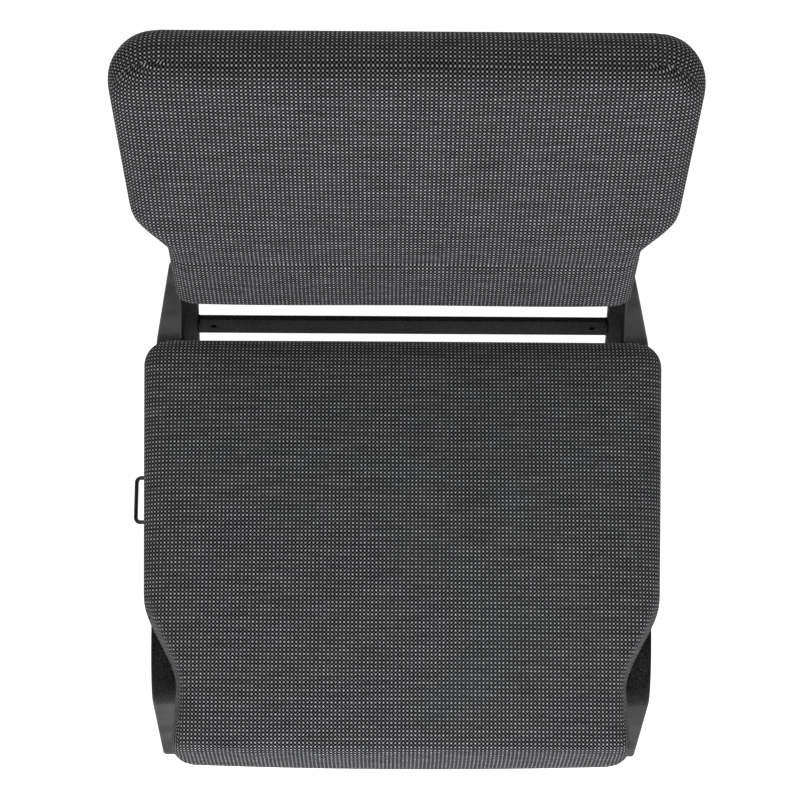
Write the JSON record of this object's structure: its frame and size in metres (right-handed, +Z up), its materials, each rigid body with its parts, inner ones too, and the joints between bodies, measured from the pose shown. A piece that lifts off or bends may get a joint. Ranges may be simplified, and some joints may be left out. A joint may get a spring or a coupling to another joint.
{
  "type": "church chair",
  "caption": "Stacking church chair with bent steel side frames, a padded notched seat, a padded winged back and a pull-out ganging loop.",
  "frame": {"origin": "on the floor under the middle of the chair's box", "axes": "+Z up, +Y towards the back of the chair, +X towards the sitter's left; the ganging loop is on the -X side, at the left as seen from the front"},
  "size_m": [0.6072, 0.6633, 0.8275],
  "materials": {
    "frame_steel": "black powder coat",
    "moulded_plastic": "matt black",
    "cover_fabric": "charcoal woven upholstery with a fine grid of pale dots",
    "foam": "cut polyurethane foam",
    "plywood": "raw plywood",
    "lining": "black spun lining",
    "plated_steel": "zinc plated",
    "plated_rod": "black plated"
  },
  "bodies": {
    "chair": {"left_side_frame": "frame_steel", "right_side_frame": "frame_steel", "left_upright": "frame_steel", "right_upright": "frame_steel", "rear_crossbar": "frame_steel", "front_seat_rail": "frame_steel", "rear_seat_rail": "frame_steel", "front_loop_sleeve": "frame_steel", "rear_loop_sleeve": "frame_steel", "ganging_hook": "frame_steel", "front_left_glide": "moulded_plastic", "front_right_glide": "moulded_plastic", "rear_left_glide": "moulded_plastic", "rear_right_glide": "moulded_plastic", "front_left_bumper": "moulded_plastic", "front_right_bumper": "moulded_plastic", "rear_left_bumper": "moulded_plastic", "rear_right_bumper": "moulded_plastic", "left_upright_plug": "moulded_plastic", "right_upright_plug": "moulded_plastic", "seat_cover": "cover_fabric", "back_cover": "cover_fabric", "seat_foam": "foam", "back_foam": "foam", "back_top_roll": "foam", "seat_board": "plywood", "back_board": "plywood", "back_rear_board": "plywood", "back_spacer": "plywood", "seat_dust_cover": "lining", "front_left_seat_screw": "plated_steel", "front_right_seat_screw": "plated_steel", "rear_left_seat_screw": "plated_steel", "rear_right_seat_screw": "plated_steel", "left_back_screw_1": "plated_steel", "left_back_screw_2": "plated_steel", "right_back_screw_1": "plated_steel", "right_back_screw_2": "plated_steel"},
    "loop": {"ganging_loop": "plated_rod", "front_loop_stop": "plated_steel", "rear_loop_stop": "plated_steel"}
  },
  "joints": [
    {"name": "ganging_loop_slide", "type": "slide", "parent": "chair", "child": "loop", "axis": [-1, 0, 0], "range_m": [0, 0.06]}
  ]
}
